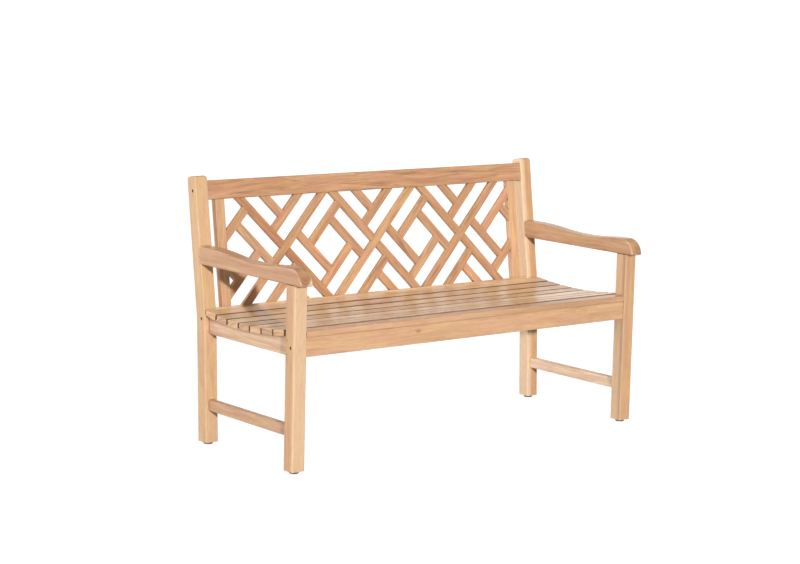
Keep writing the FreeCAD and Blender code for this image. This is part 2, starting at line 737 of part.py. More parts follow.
def build_centre_bearer(name):
    """The hollowed bearer under the middle of the slats, from the front rail to the lower back rail."""
    body = upright_body(f"{name}_blank")
    rear = lower_rail_face("bend_height")
    outline = [
        (BEARER_FRONT, "bearer_bottom"),
        (lower_rail_face("bearer_bottom"), "bearer_bottom"),
        (rear, "bend_height"),
        (rear, hollow(rear)),
        ("(front_slat_recess + front_slat_width)", hollow("(front_slat_recess + front_slat_width)")),
        ("(front_slat_recess + front_slat_width)", FRONT_RAIL_TOP),
        (BEARER_FRONT, FRONT_RAIL_TOP),
    ]
    pad(body, "bearer", "side", "0", "bearer_thickness", outline, {3: ("seat_hollow_radius", -1)})
    round_edges(body, "long_edges", "bearer_edge_radius", runs_along("y"))
    front = front_tenon(BEARER_FRONT, "bearer_tenon_length", BEARER_TENON_LOW, BEARER_TENON_HIGH)
    pad(body, "front_tenon", "side", "0", "tenon_thickness", front)
    tenon = rear_tenon(lower_rail_face, "bearer_tenon_length", BEARER_TENON_LOW, BEARER_TENON_HIGH)
    pad(body, "rear_tenon", "side", "0", "tenon_thickness", tenon)
    drill_for_slat_screws(name, body, BEARERS[name])


NUT_PLACES = [f"{side} * ({INNER} - nut_distance)" for side in SIDES.values()]
BOLT_RUN = "(rail_tenon_length + nut_distance + bolt_reach)"
NUT_MARGIN = "((panel_thickness - nut_length) / 2)"


def drill_rail_for_bolts(body, depth_middle, rise_middle, back_face):
    """Bolt holes in both ends of a rail, and the cross holes for their barrel nuts from the rail's back."""
    for end, side in SIDES.items():
        middle = f"{side} * ({INNER} + rail_tenon_length - {BOLT_RUN} / 2)"
        drill(body, f"bolt_hole_{end}", "side", middle, BOLT_RUN, BOLT_HOLE, [(depth_middle, rise_middle)])
    cross_depth = f"({back_face} - {depth_middle} + nut_length / 2 + hole_fit)"
    places = [(across, rise_middle) for across in NUT_PLACES]
    middle = f"{back_face} - {cross_depth} / 2"
    drill(body, "nut_holes", "front", middle, cross_depth, "nut_diameter + 2 * hole_fit", places)


FRONT_SCREW_PLACES = [
    f"({2 * index} / {FRONT_SCREW_COUNT - 1} - 1) * ({INNER} - front_screw_margin)"
    for index in range(FRONT_SCREW_COUNT)
]


def build_front_rail(name):
    """The seat's front rail, with stub tenons and a bolt at each end."""
    body = upright_body(name)
    depth_low = "front_rail_recess"
    depth_high = BEARER_FRONT
    section = rectangle(depth_low, depth_high, "seat_rail_bottom", FRONT_RAIL_TOP)
    pad(body, "rail", "side", "0", SPAN, section)
    round_edges(body, "long_edges", "rail_edge_radius", runs_along("x"))
    tenon = rectangle(
        f"{FRONT_RAIL_MIDDLE} - rail_tenon_thickness / 2", f"{FRONT_RAIL_MIDDLE} + rail_tenon_thickness / 2",
        "seat_rail_bottom + rail_tenon_shoulder", f"{FRONT_RAIL_TOP} - rail_tenon_shoulder",
    )
    pad(body, "tenons", "side", "0", f"{SPAN} + 2 * rail_tenon_length", tenon)
    mouth = front_tenon(BEARER_FRONT, "bearer_tenon_length", BEARER_TENON_LOW, BEARER_TENON_HIGH, "tenon_fit")
    pocket(body, "bearer_mortise", "side", "0", MORTISE_THICKNESS, [mouth])
    bolt_height = "(seat_rail_bottom + front_rail_height / 2)"
    drill_rail_for_bolts(body, FRONT_RAIL_MIDDLE, bolt_height, BEARER_FRONT)
    places = [(across, FRONT_RAIL_MIDDLE) for across in FRONT_SCREW_PLACES]
    rail_middle = "seat_rail_bottom + front_rail_height / 2"
    drill(body, "screw_holes", "plan", rail_middle, "front_rail_height", "screw_diameter + hole_fit", places)
    head_depth = "(front_rail_height - screw_grip)"
    drill(
        body, "screw_head_holes", "plan", f"seat_rail_bottom + {head_depth} / 2", head_depth,
        "screw_head_diameter + 2 * hole_fit", places,
    )
    finish(name, body)


def build_front_slat(name):
    """The narrow slat on the front rail, between the front legs."""
    body = upright_body(name)
    section = rectangle(
        "front_slat_recess", "front_slat_recess + front_slat_width",
        FRONT_RAIL_TOP, f"{FRONT_RAIL_TOP} + slat_thickness",
    )
    pad(body, "slat", "side", "0", f"{SPAN} - 2 * front_slat_gap", section)
    round_edges(body, "long_edges", "slat_edge_radius", runs_along("x"))
    places = [(across, FRONT_RAIL_MIDDLE) for across in FRONT_SCREW_PLACES]
    bite = "(screw_bite + hole_fit)"
    middle = f"{FRONT_RAIL_TOP} + {bite} / 2"
    drill(body, "screw_holes", "plan", middle, bite, "screw_diameter + hole_fit", places)
    finish(name, body)


def build_slat(name, index):
    """A full-length slat, tilted to the hollow of the seat."""
    body = doc.addObject("PartDesign::Body", name)
    body.setExpression("Placement", slat_placement(index, "0", "0"))
    section = rectangle("-slat_width / 2", "slat_width / 2", "0", "slat_thickness")
    pad(body, "slat", "side", "0", "bench_length - 2 * slat_end_inset", section)
    round_edges(body, "long_edges", "slat_edge_radius", runs_along("x"))
    places = [(across, "0") for across in BEARERS.values()]
    bite = "(screw_bite + hole_fit)"
    drill(body, "screw_holes", "plan", f"{bite} / 2", bite, "screw_diameter + hole_fit", places)
    finish(name, body)


# Lines of the lattice as (kind, place): rising and falling bars by where they cross the lattice's middle,
# level lines by their rise and upright lines by their distance from the bench's middle.
HALF_RUN = "(bar_width / 2 / sin(lattice_angle))"
TENON_RUN = "(bar_tenon_length / sin(lattice_angle))"
SHOULDER_RUN = "(bar_tenon_shoulder / sin(lattice_angle))"
FIT_RUN = "(tenon_fit / sin(lattice_angle))"


def meet(bar_line, other_line):
    """The point where a rising or falling line meets a line of another kind."""
    kind, place = bar_line
    other_kind, other_place = other_line
    sign = "" if kind == "rise" else "-"
    if other_kind == "level":
        return (f"({place} + {sign}1 * ({other_place} - {LATTICE_MIDDLE}) / lattice_slope)", other_place)
    if other_kind == "upright":
        return (other_place, f"({LATTICE_MIDDLE} + {sign}1 * ({other_place} - {place}) * lattice_slope)")
    return (
        f"(({place} + {other_place}) / 2)",
        f"({LATTICE_MIDDLE} + {sign}1 * ({other_place} - {place}) / 2 * lattice_slope)",
    )


def end_line(end, into):
    """The line across a bar's end, moved into the receiving piece by a distance square to its face."""
    kind, place, facing = end
    if kind in ("level", "upright"):
        return (kind, f"({place} - {facing} * {into})")
    return (kind, f"({place} + {facing} * ({HALF_RUN} - {into} / sin(lattice_angle)))")


def bar_quad(bar, half_run, low_into, high_into):
    """The four corners of a bar, or of its tenon, between its two end lines."""
    left = (bar["kind"], f"({bar['place']} - {half_run})")
    right = (bar["kind"], f"({bar['place']} + {half_run})")
    low = end_line(bar["low"], low_into)
    high = end_line(bar["high"], high_into)
    return [meet(left, low), meet(right, low), meet(right, high), meet(left, high)]


def mortise_quad(bar, end):
    """The mouth that takes one end of a bar, from just outside the receiving piece."""
    half_run = f"({HALF_RUN} - {SHOULDER_RUN} + {FIT_RUN})"
    deep = "(bar_tenon_length + tenon_fit)"
    outside = "(-bar_tenon_shoulder)"
    left = (bar["kind"], f"({bar['place']} - {half_run})")
    right = (bar["kind"], f"({bar['place']} + {half_run})")
    near = end_line(bar[end], outside)
    far = end_line(bar[end], deep)
    return [meet(left, near), meet(right, near), meet(right, far), meet(left, far)]


def on_bar(kind, place, facing):
    """An end on the edge of another bar: facing is 1 on its right edge and -1 on its left."""
    return (kind, place, facing)


ON_LOWER_RAIL = ("level", OPENING_LOW, 1)
ON_TOP_RAIL = ("level", OPENING_HIGH, -1)
ON_STILE = {
    "left": ("upright", "(-stile_inner)", 1),
    "right": ("upright", "stile_inner", -1),
}

bars = {}
receivers = {}


def add_bar(name, kind, place, low, high):
    """Lists a bar; low and high each give the end's line and the name of the piece that takes it."""
    bars[name] = {"kind": kind, "place": place, "low": low[0], "high": high[0]}
    for end, (_, receiver) in (("low", low), ("high", high)):
        receivers.setdefault(receiver, []).append((name, end))


def list_crossing(label, number):
    """Two long bars that cross, two braces above the crossing and two below it."""
    middle = f"({number} * lattice_pitch)"
    rising = f"lattice_long_rising_{label}"
    falling = f"lattice_long_falling_{label}"
    rail_ends = ((ON_LOWER_RAIL, "lower_back_rail"), (ON_TOP_RAIL, "top_back_rail"))
    add_bar(rising, "rise", middle, *rail_ends)
    add_bar(falling, "fall", middle, *rail_ends)
    before = f"({middle} - lattice_step)"
    after = f"({middle} + lattice_step)"
    upper = f"lattice_upper_long_brace_{label}"
    lower = f"lattice_lower_long_brace_{label}"
    add_bar(upper, "rise", before, (on_bar("fall", middle, 1), falling), rail_ends[1])
    add_bar(lower, "rise", after, rail_ends[0], (on_bar("fall", middle, -1), falling))
    upper_short = f"lattice_upper_short_brace_{label}"
    lower_short = f"lattice_lower_short_brace_{label}"
    add_bar(upper_short, "fall", after, (on_bar("rise", before, -1), upper), rail_ends[1])
    add_bar(lower_short, "fall", before, rail_ends[0], (on_bar("rise", after, 1), lower))


def list_pinwheel(label, left_label, right_label):
    """Four bars round a square opening, between two crossings or between a crossing and a stile."""
    if left_label:
        left = f"({CROSSINGS[left_label]} * lattice_pitch)"
    else:
        left = f"(({CROSSINGS[right_label]} - 1) * lattice_pitch)"
    right = f"({left} + lattice_pitch)"
    near_left = f"({left} + lattice_step)"
    near_right = f"({right} - lattice_step)"
    corners = ("upper_left", "lower_left", "lower_right", "upper_right")
    names = {corner: f"lattice_{label}_{corner}" for corner in corners}
    left_stile = (ON_STILE["left"], "back_stile_left")
    right_stile = (ON_STILE["right"], "back_stile_right")
    if left_label:
        upper_left_low = (on_bar("fall", near_left, 1), names["lower_left"])
        lower_left_high = (on_bar("rise", left, 1), f"lattice_long_rising_{left_label}")
        lower_right_low = (on_bar("fall", left, 1), f"lattice_long_falling_{left_label}")
    else:
        upper_left_low = lower_left_high = lower_right_low = left_stile
    if right_label:
        upper_left_high = (on_bar("fall", right, -1), f"lattice_long_falling_{right_label}")
        lower_right_high = (on_bar("fall", near_right, -1), names["upper_right"])
        upper_right_low = (on_bar("rise", right, -1), f"lattice_long_rising_{right_label}")
    else:
        upper_left_high = lower_right_high = upper_right_low = right_stile
    lower_left_low = (on_bar("rise", near_right, -1), names["lower_right"])
    upper_right_high = (on_bar("rise", near_left, 1), names["upper_left"])
    add_bar(names["upper_left"], "rise", near_left, upper_left_low, upper_left_high)
    add_bar(names["lower_left"], "fall", near_left, lower_left_low, lower_left_high)
    add_bar(names["lower_right"], "rise", near_right, lower_right_low, lower_right_high)
    add_bar(names["upper_right"], "fall", near_right, upper_right_low, upper_right_high)


def cut_bar_mortises(body, name):
    """Cuts the mouths for every lattice bar that ends in a piece."""
    if name in receivers:
        mouths = [mortise_quad(bars[bar], end) for bar, end in receivers[name]]
        pocket(body, "bar_mortises", "front", BAR_MIDDLE, "bar_tenon_thickness + 2 * tenon_fit", mouths)


def cut_crossing(body, bar):
    """Halves a long bar where its partner crosses: rising bars at the back, falling bars at the front."""
    side = 1 if bar["kind"] == "rise" else -1
    partner = "fall" if bar["kind"] == "rise" else "rise"
    reach = f"({HALF_RUN} + {SHOULDER_RUN})"
    width = f"({HALF_RUN} + {FIT_RUN})"
    own = [(bar["kind"], f"({bar['place']} {sign} {reach})") for sign in "-+"]
    other = [(partner, f"({bar['place']} {sign} {width})") for sign in "-+"]
    mouth = [meet(own[0], other[0]), meet(own[1], other[0]), meet(own[1], other[1]), meet(own[0], other[1])]
    # The prism is as thick as the bar and starts at the bar's middle.
    pocket(body, "crossing", "front", f"{BAR_MIDDLE} + {side} * bar_thickness / 2", "bar_thickness", [mouth])


def build_bar(name, bar):
    """A lattice bar with a tenon at each end."""
    body = back_body(name)
    pad(body, "bar", "front", BAR_MIDDLE, "bar_thickness", bar_quad(bar, HALF_RUN, "0", "0"))
    round_edges(body, "long_edges", "bar_edge_radius", runs_with(bar["kind"]))
    tenons = bar_quad(bar, f"({HALF_RUN} - {SHOULDER_RUN})", "bar_tenon_length", "bar_tenon_length")
    pad(body, "tenons", "front", BAR_MIDDLE, "bar_tenon_thickness", tenons)
    cut_bar_mortises(body, name)
    if name.startswith("lattice_long"):
        cut_crossing(body, bar)
    return body


def build_stile(name, side):
    """An upright of the back frame, tenoned into both rails."""
    body = back_body(name)
    low_across, high_across = sorted((f"{side} * stile_inner", f"{side} * {STILE_OUTER}"), key=value)
    outline = rectangle(low_across, high_across, OPENING_LOW, OPENING_HIGH)
    pad(body, "stile", "front", PANEL_MIDDLE, "panel_thickness", outline)
    round_edges(body, "long_edges", "stile_edge_radius", runs_along("z"))
    pad(body, "tenons", "front", PANEL_MIDDLE, "stile_tenon_thickness", stile_tenon(side, "0"))
    cut_bar_mortises(body, name)
    finish(name, body)


def stile_tenon(side, fit):
    """Both tenons of a stile as one tongue, or the mouths that take them."""
    low_across, high_across = sorted((f"{side} * stile_inner", f"{side} * {STILE_OUTER}"), key=value)
    return rectangle(
        f"{low_across} + tenon_shoulder - {fit}", f"{high_across} - tenon_shoulder + {fit}",
        f"{OPENING_LOW} - stile_tenon_length - {fit}", f"{OPENING_HIGH} + stile_tenon_length + {fit}",
    )


def build_back_rail(name, middle, height):
    """A rail of the back frame, with stub tenons and a bolt at each end."""
    body = back_body(name)
    depth_high = "(panel_recess + panel_thickness)"
    section = rectangle("panel_recess", depth_high, f"{middle} - {height} / 2", f"{middle} + {height} / 2")
    pad(body, "rail", "side", "0", SPAN, section)
    round_edges(body, "long_edges", "rail_edge_radius", runs_along("x"))
    tenon = rectangle(
        f"{PANEL_MIDDLE} - rail_tenon_thickness / 2", f"{PANEL_MIDDLE} + rail_tenon_thickness / 2",
        f"{middle} - {height} / 2 + rail_tenon_shoulder", f"{middle} + {height} / 2 - rail_tenon_shoulder",
    )
    pad(body, "tenons", "side", "0", f"{SPAN} + 2 * rail_tenon_length", tenon)
    mouths = [stile_tenon(side, "tenon_fit") for side in SIDES.values()]
    pocket(body, "stile_mortises", "front", PANEL_MIDDLE, "stile_tenon_thickness + 2 * tenon_fit", mouths)
    cut_bar_mortises(body, name)
    if name == "lower_back_rail":
        tenon = rear_tenon(
            lower_rail_face, "bearer_tenon_length", BEARER_TENON_LOW, BEARER_TENON_HIGH, "tenon_fit"
        )
        mouth = [unraked(depth, level) for depth, level in tenon]
        pocket(body, "bearer_mortise", "side", "0", MORTISE_THICKNESS, [mouth])
    drill_rail_for_bolts(body, PANEL_MIDDLE, middle, depth_high)
    finish(name, body)


def group(label, members):
    """Keeps identical pieces as one node of separate solids."""
    compound = doc.addObject("Part::Compound", label)
    compound.Links = members
    finish(label, compound)


def join(name, solids):
    """Fuses primitives into one piece."""
    fused = doc.addObject("Part::MultiFuse", name)
    fused.Shapes = solids
    return fused


def build_glides():
    """Round glides nailed under the four legs."""
    members = []
    feet = {"front": "leg_depth / 2", "rear": POST_FOOT}
    for end, side in SIDES.items():
        for row_name, depth in feet.items():
            label = f"glide_{row_name}_{end}"
            base = f"vector({side} * {LEG_CENTRE}; {depth} - mid_depth; 0)"
            place = bound(f"placement({base}; rotation(vector(1; 0; 0); 0))")
            disc = cylinder(f"{label}_disc", "glide_diameter", "glide_height", place)
            doc.recompute()
            rounded = doc.addObject("Part::Fillet", f"{label}_round")
            rounded.Base = disc
            radius = value("glide_edge_radius")
            lower_edges = [
                number for number, edge in enumerate(disc.Shape.Edges, start=1)
                if len(edge.Vertexes) == 1 and edge.BoundBox.ZMax < value("glide_height") / 2
            ]
            rounded.Edges = [(number, radius, radius) for number in lower_edges]
            nail = cylinder(
                f"{label}_nail", "glide_nail_diameter", "glide_height / 2 + glide_nail_length",
                bound(f"placement(vector({side} * {LEG_CENTRE}; {depth} - mid_depth; glide_height / 2);"
                      " rotation(vector(1; 0; 0); 0))"),
            )
            members.append(join(label, [rounded, nail]))
    group("foot_glides", members)


def along_bench(across, depth, height, side):
    """A placement whose Z runs along the bench, inwards from the given side."""
    turn = f"rotation(vector(0; 1; 0); {-side * 90})"
    return bound(f"placement(vector({across}; {depth} - mid_depth; {height}); {turn})")


BOLT_PLACES = {
    "front_rail": (FRONT_RAIL_MIDDLE, "(seat_rail_bottom + front_rail_height / 2)"),
    "top_rail": raked(PANEL_MIDDLE, TOP_RAIL_MIDDLE),
    "lower_rail": raked(PANEL_MIDDLE, "0"),
}


def build_bolts_and_nuts():
    """Recessed bolts through the legs into barrel nuts in the rails."""
    bolts = []
    nuts = []
    head_base = "(bolt_recess - bolt_head_height)"
    shank_length = f"(leg_width - {head_base} + nut_distance + bolt_reach - hole_fit)"
    for end, side in SIDES.items():
        for rail, (depth, height) in BOLT_PLACES.items():
            label = f"{rail}_{end}"
            seat = along_bench(f"{side} * ({OUTER} - {head_base})", depth, height, side)
            shank = cylinder(f"bolt_shank_{label}", "bolt_diameter", shank_length, seat)
            head = cylinder(f"bolt_head_{label}", "bolt_head_diameter", "bolt_head_height", seat)
            socket = doc.addObject("Part::Prism", f"bolt_socket_{label}")
            socket.Polygon = 6
            socket.setExpression("Circumradius", bound("bolt_socket_width / 2 / cos(30)"))
            socket.setExpression("Height", bound("bolt_socket_depth"))
            socket.setExpression("Placement", seat)
            bolt = doc.addObject("Part::Cut", f"bolt_{label}")
            bolt.Base = join(f"bolt_blank_{label}", [shank, head])
            bolt.Tool = socket
            bolts.append(bolt)
            nuts.append(build_nut(label, side, rail, depth, height))
    group("frame_bolts", bolts)
    group("barrel_nuts", nuts)


def build_nut(label, side, rail, depth, height):
    """A barrel nut across a rail, with the hole that takes its bolt."""
    lean = "0" if rail == "front_rail" else "back_rake"
    across = f"{side} * ({INNER} - nut_distance)"
    back = f"({depth} - nut_length / 2 * cos({lean}) - mid_depth)"
    level = f"({height} + nut_length / 2 * sin({lean}))"
    turn = f"rotation(vector(1; 0; 0); -90 - {lean})"
    place = bound(f"placement(vector({across}; {back}; {level}); {turn})")
    barrel = cylinder(f"nut_barrel_{label}", "nut_diameter", "nut_length", place)
    start = along_bench(f"{side} * ({INNER} - nut_distance + nut_diameter)", depth, height, side)
    bore = cylinder(f"nut_bore_{label}", "bolt_diameter + hole_fit", "2 * nut_diameter", start)
    nut = doc.addObject("Part::Cut", f"nut_{label}")
    nut.Base = barrel
    nut.Tool = bore
    return nut


def build_pegs():
    """Pegs through the side rails' front tenons and the arms' rear tenons."""
    places = [(PEG_DEPTH, height) for height in PEG_HEIGHTS]
    places.append((ARM_PEG_DEPTH, ARM_TENON_HEIGHT))
    pegs = []
    for end, side in SIDES.items():
        for number, (depth, height) in enumerate(places, start=1):
            seat = along_bench(f"{side} * {OUTER}", depth, height, side)
            pegs.append(cylinder(f"peg_{end}_{number}", "peg_diameter", "peg_length", seat))
    group("joint_pegs", pegs)


def build_screw(label, head_base):
    """A pan-headed screw that points up from the placement of its head's lower face."""
    shank = cylinder(
        f"{label}_shank", "screw_diameter", "screw_head_height + screw_grip + screw_bite", head_base
    )
    head = cylinder(f"{label}_head", "screw_head_diameter", "screw_head_height", head_base)
    return join(label, [shank, head])


def build_screws():
    """Screws driven up into the slats through their bearers, and into the front slat through its rail."""
    screws = []
    for bearer, across in BEARERS.items():
        for index in range(SLAT_COUNT):
            head_base = slat_placement(index, across, "-screw_grip - screw_head_height")
            screws.append(build_screw(f"screw_{bearer}_{index}", head_base))
    for index, across in enumerate(FRONT_SCREW_PLACES):
        level = f"{FRONT_RAIL_TOP} - screw_grip - screw_head_height"
        base = f"vector({across}; {FRONT_RAIL_MIDDLE} - mid_depth; {level})"
        head_base = bound(f"placement({base}; rotation(vector(1; 0; 0); 0))")
        screws.append(build_screw(f"screw_front_{index}", head_base))
    group("slat_screws", screws)


def build_lattice():
    """All lattice bars; the three alike braces of each kind share a node."""
    built = {name: build_bar(name, bar) for name, bar in bars.items()}
    for kind in ("upper_long", "upper_short", "lower_long", "lower_short"):
        label = f"lattice_{kind}_brace"
        group(f"{label}s", [built.pop(f"{label}_{crossing}") for crossing in CROSSINGS])
    for name, body in built.items():
        finish(name, body)


def build_bench():
    """Every piece of the bench."""
    for label, number in CROSSINGS.items():
        list_crossing(label, number)
    gaps = [None, *CROSSINGS, None]
    for number in range(len(gaps) - 1):
        list_pinwheel(f"pinwheel_{number + 1}", gaps[number], gaps[number + 1])
    for end, side in SIDES.items():
        build_rear_post(f"rear_post_{end}", side)
        build_front_leg(f"front_leg_{end}", side)
        build_arm(f"arm_{end}", side)
        build_stretcher(f"side_stretcher_{end}", side)
        build_side_rail(f"side_seat_rail_{end}", side)
        build_stile(f"back_stile_{end}", side)
    build_back_rail("top_back_rail", TOP_RAIL_MIDDLE, "top_rail_height")
    build_back_rail("lower_back_rail", "0", "lower_rail_height")
    build_front_rail("front_seat_rail")
    build_front_slat("front_seat_slat")
    build_centre_bearer("centre_seat_bearer")
    for index in range(SLAT_COUNT):
        build_slat(f"seat_slat_{index + 1}", index)
    build_lattice()
    build_glides()
    build_bolts_and_nuts()
    build_pegs()
    build_screws()


def check():
    """Stops if any object failed or any sub-part is empty or invalid."""
    doc.recompute()
    for item in doc.Objects:
        if "Invalid" in item.State or "Error" in item.State:
            raise RuntimeError(f"{item.Name} failed: {item.State}")
    for label, item in nodes.items():
        if item.Shape.isNull() or not item.Shape.isValid() or not item.Shape.Solids:
            raise RuntimeError(f"{label} has no valid solid")


build_bench()
check()
os.makedirs("parts", exist_ok=True)
for node_name, node in nodes.items():
    node.Shape.exportStep(f"parts/{node_name}.step")
print(f"{len(nodes)} nodes, {sum(len(node.Shape.Solids) for node in nodes.values())} solids")
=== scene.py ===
import math
import random

import bpy
from mathutils import Matrix, Vector


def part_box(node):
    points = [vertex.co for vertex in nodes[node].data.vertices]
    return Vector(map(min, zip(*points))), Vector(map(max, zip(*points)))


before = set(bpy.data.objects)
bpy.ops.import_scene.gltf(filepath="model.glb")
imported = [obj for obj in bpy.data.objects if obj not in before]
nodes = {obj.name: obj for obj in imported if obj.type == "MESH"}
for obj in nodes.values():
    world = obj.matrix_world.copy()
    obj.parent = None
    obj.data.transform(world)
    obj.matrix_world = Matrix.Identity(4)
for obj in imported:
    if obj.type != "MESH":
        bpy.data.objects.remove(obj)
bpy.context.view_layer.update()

bpy.ops.object.select_all(action="DESELECT")

# Directions of the bench's parts
BACK_RAKE = math.radians(8.14)
LATTICE_ANGLE = math.radians(46.1)
ALONG_BENCH = Vector((1, 0, 0))
FRONT_TO_BACK = Vector((0, 1, 0))
UPRIGHT = Vector((0, 0, 1))
UP_THE_BACK = Vector((0, math.sin(BACK_RAKE), math.cos(BACK_RAKE)))
OUT_OF_THE_BACK = Vector((0, -math.cos(BACK_RAKE), math.sin(BACK_RAKE)))
RISING = ALONG_BENCH * math.cos(LATTICE_ANGLE) + UP_THE_BACK * math.sin(LATTICE_ANGLE)
FALLING = ALONG_BENCH * math.cos(LATTICE_ANGLE) - UP_THE_BACK * math.sin(LATTICE_ANGLE)


def linear(code):
    """A linear colour with full alpha from an sRGB hex value."""
    parts = [int(code[place:place + 2], 16) / 255 for place in (1, 3, 5)]
    parts = [part / 12.92 if part <= 0.04045 else ((part + 0.055) / 1.055) ** 2.4 for part in parts]
    return (*parts, 1.0)


def grey(level):
    """A grey of the given linear level, with full alpha."""
    return (level, level, level, 1.0)


def mm(size):
    """Metres from millimetres."""
    return size / 1000


def add_node(tree, kind, inputs=None, stops=(), **settings):
    """Adds a node, sets its settings and colour stops, and fills its inputs with values or links."""
    node = tree.nodes.new(kind)
    for name, setting in settings.items():
        setattr(node, name, setting)
    for count, (place, colour) in enumerate(stops):
        elements = node.color_ramp.elements
        element = elements[count] if count < len(elements) else elements.new(place)
        element.position = place
        element.color = colour
    for socket, content in (inputs or {}).items():
        if isinstance(content, bpy.types.NodeSocket):
            tree.links.new(content, node.inputs[socket])
        else:
            node.inputs[socket].default_value = content
    return node


def grain_turn(along, facing):
    """The turn that lays X along the grain and Z towards the board's face."""
    first = along.normalized()
    third = (facing - first * facing.dot(first)).normalized()
    second = third.cross(first)
    return Matrix((first, second, third)).transposed().to_euler()


# Sawn teak, sanded and not oiled: dry, matte, golden to pinkish brown. Each tone is the colour of the early
# wood, the late wood and the dark streaks of one board.
TONES = {
    "wheat": ("#DAB68E", "#CBA177", "#A0754F"),
    "honey": ("#DFB68F", "#CEA17A", "#9C6E4C"),
    "amber": ("#D8AE85", "#C89A70", "#956846"),
    "shell": ("#F9DAAE", "#DEAF82", "#A2734C"),
    "cream": ("#FBE3C8", "#E2BB9A", "#A27858"),
    "blush": ("#EECAA1", "#CFA178", "#966A4C"),
    "sand": ("#E4C3A6", "#C79D7D", "#8E654B"),
    "straw": ("#E6C39B", "#C99D74", "#8E6445"),
    "buff": ("#D6B08C", "#C29671", "#8C6347"),
    "rose": ("#DAAB85", "#C6926C", "#906347"),
    "tan": ("#D0A57F", "#BB8B66", "#885E43"),
    "brown": ("#C7956D", "#AE7A55", "#784F38"),
}
SAPWOOD = "#EFD3B0"
YELLOW_TINT = "#FEFFF0"
PINK_TINT = "#FCF2F6"
TINT_STRENGTH = 0.9
# Colour of the painted shade in narrow gaps and at joints
GAP_SHADE = "#4C2E1C"
# Colour of the painted shade on long edges, which on the slats stands for the shade in the gaps between them
EDGE_SHADE = "#5E3826"
TEAK_IOR = 1.5

# How far each board's pattern lies from the next one's, along the grain, in metres
PATTERN_SPACING = 2.7
# Growth rings: dark late wood ends each ring, and its first half is the palest.
RING_WIDTH = mm(4.5)
RING_VARIATION = mm(11)
RING_STOPS = ((0.0, grey(0.5)), (0.85, grey(1)), (0.2, grey(0)), (0.55, grey(0.12)))
RING_STRENGTH = 0.3
# The slow sway of the grain
DRIFT_LENGTH = mm(300)
DRIFT_WIDTH = mm(160)
DRIFT_SWAY = mm(18)
# Streaks of early and late wood, patches of yellower and pinker wood, and the dark figure. The limits are
# levels of the pattern's noise, between which one colour goes over into the other.
STREAK_LENGTH = mm(300)
STREAK_WIDTH = mm(14)
STREAK_LIMITS = (0.34, 0.68)
PATCH_LENGTH = mm(110)
PATCH_WIDTH = mm(26)
PATCH_LIMITS = (0.38, 0.62)
FIGURE_LENGTH = mm(150)
FIGURE_WIDTH = mm(10)
FIGURE_LIMITS = (0.5, 0.75)
# Pores are about 0.2 mm wide: drawn at 1.4 mm so that they show.
PORE_LENGTH = mm(45)
PORE_WIDTH = mm(1.4)
PORE_LIMITS = (0.52, 0.75)
PORE_STRENGTH = 0.32
PORE_POLISH_LIMITS = (0.3, 0.7)
PORE_DULLNESS = 0.16
PORE_RELIEF = -0.6
RELIEF_HEIGHT = mm(0.4)
RELIEF_STRENGTH = 0.18
# End grain and long edges, by how squarely a face looks along or across the grain
END_LIMITS = (0.55, 0.95)
EDGE_LIMITS = (0.3, 0.7)
# Bands of rings on the end grain
BAND_LIMITS = (0.42, 0.62)
BAND_STRENGTHS = (0.05, 0.9)
# The width over which sapwood fades into heartwood, and the share of a mark that is its darkest part
SAPWOOD_EDGE = mm(9)
MARK_CORE = 0.1
# Painted shade in narrow gaps and at joints, by how open the surface lies to what is around it
GAP_REACH = mm(12)
GAP_LIMITS = (0.3, 0.75)


